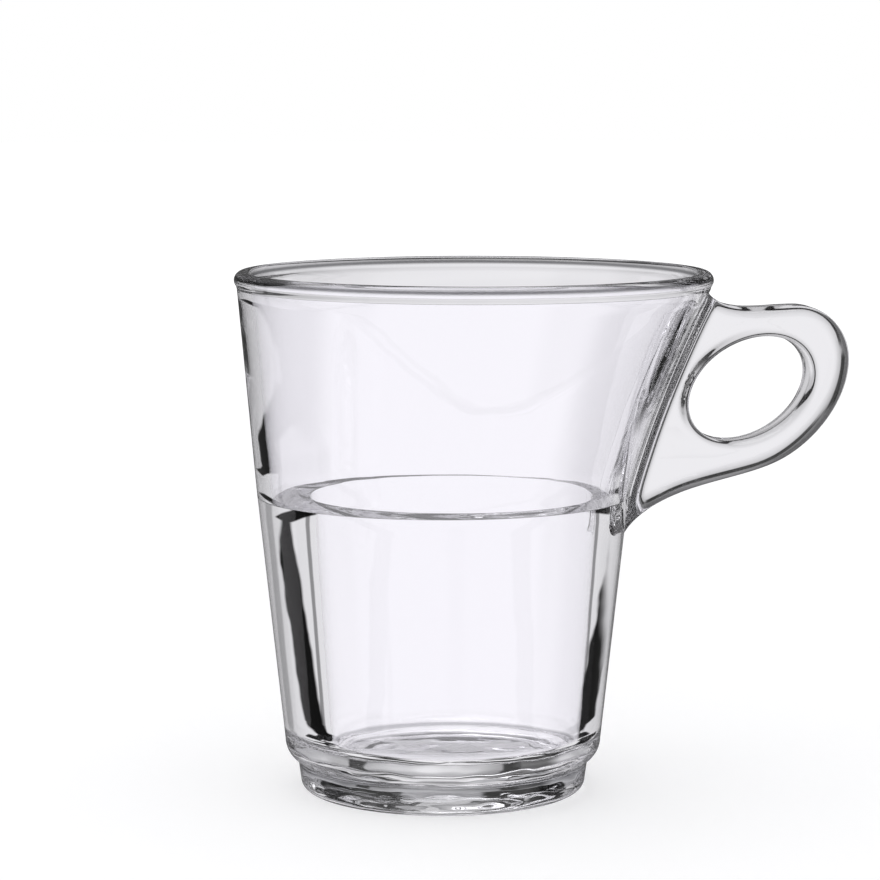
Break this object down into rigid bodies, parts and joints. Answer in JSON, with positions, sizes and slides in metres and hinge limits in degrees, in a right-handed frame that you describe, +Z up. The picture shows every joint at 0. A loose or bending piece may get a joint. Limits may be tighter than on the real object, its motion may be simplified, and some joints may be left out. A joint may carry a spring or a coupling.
{
  "type": "glass coffee cup",
  "caption": "Clear pressed glass coffee cup with a flared off-centre mouth, a stacking ledge, a thick stepped base and a flat handle pierced by a finger hole.",
  "frame": {"origin": "on the table, in the middle of the cup's overall length and width; the axis of the lower body and foot stands at x = -17.5 mm", "axes": "+Z up from the table, +X from the cup towards the tip of its handle, +Y across the handle's flat plate"},
  "size_m": [0.1066, 0.0822, 0.09],
  "materials": {
    "bowl_glass": "clear, fire-polished",
    "handle_glass": "clear, fire-polished"
  },
  "bodies": {
    "root": {"bowl": "bowl_glass", "handle": "handle_glass"}
  },
  "joints": []
}
